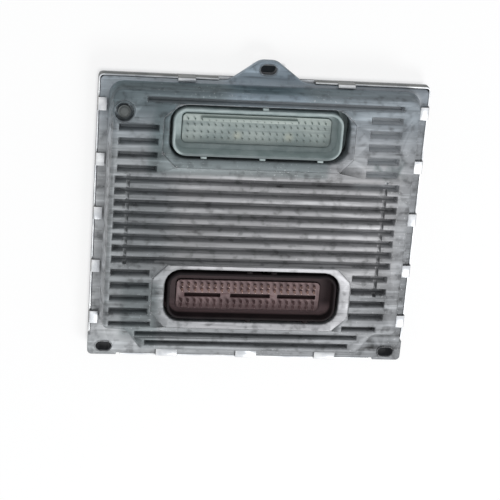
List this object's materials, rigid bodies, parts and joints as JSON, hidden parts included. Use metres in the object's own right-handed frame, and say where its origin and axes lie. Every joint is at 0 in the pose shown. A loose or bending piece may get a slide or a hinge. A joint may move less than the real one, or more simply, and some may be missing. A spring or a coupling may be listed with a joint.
{
  "type": "engine control unit",
  "caption": "Flat finned die-cast housing for engine electronics, with pin headers sunk in its front, bolt holes at its ear and corners, and a crimped sheet back cover.",
  "frame": {"origin": "centre of the rectangular flange seen from the front, on the plane that the back cover rests on", "axes": "+Z out of the finned front, +Y towards the ear with the bolt hole, +X to the right seen from the front"},
  "size_m": [0.1838, 0.1774, 0.0254],
  "materials": {
    "cast_aluminium": "dull die-cast, stained",
    "sheet_aluminium": "satin sheet",
    "seal_rubber": "matt",
    "grey_plastic": "matt, pale grey-green",
    "black_plastic": "matt",
    "mauve_plastic": "matt, mauve-brown",
    "board_green": "solder resist",
    "zinc_steel": "bright zinc",
    "thermal_pad": "matt, soft",
    "membrane": "white, matt"
  },
  "bodies": {
    "root": {"housing": "cast_aluminium", "back_cover": "sheet_aluminium", "cover_seal": "seal_rubber", "circuit_board": "board_green", "upper_header": "grey_plastic", "upper_pin_block": "grey_plastic", "upper_header_seal": "seal_rubber", "lower_header": "black_plastic", "lower_pin_block": "mauve_plastic", "lower_header_seal": "seal_rubber", "vent_cap": "black_plastic", "vent_membrane": "membrane", "board_screw_1": "zinc_steel", "board_screw_2": "zinc_steel", "board_screw_3": "zinc_steel", "board_screw_4": "zinc_steel", "board_screw_5": "zinc_steel", "board_screw_6": "zinc_steel", "bulk_capacitor_1": "zinc_steel", "bulk_capacitor_2": "zinc_steel", "crystal": "zinc_steel", "driver_chip_1": "black_plastic", "driver_chip_2": "black_plastic", "driver_chip_3": "black_plastic", "driver_chip_4": "black_plastic", "memory_chip": "black_plastic", "power_inductor": "black_plastic", "processor": "black_plastic", "thermal_pad_1": "thermal_pad", "thermal_pad_2": "thermal_pad", "thermal_pad_3": "thermal_pad", "thermal_pad_4": "thermal_pad"}
  },
  "joints": []
}
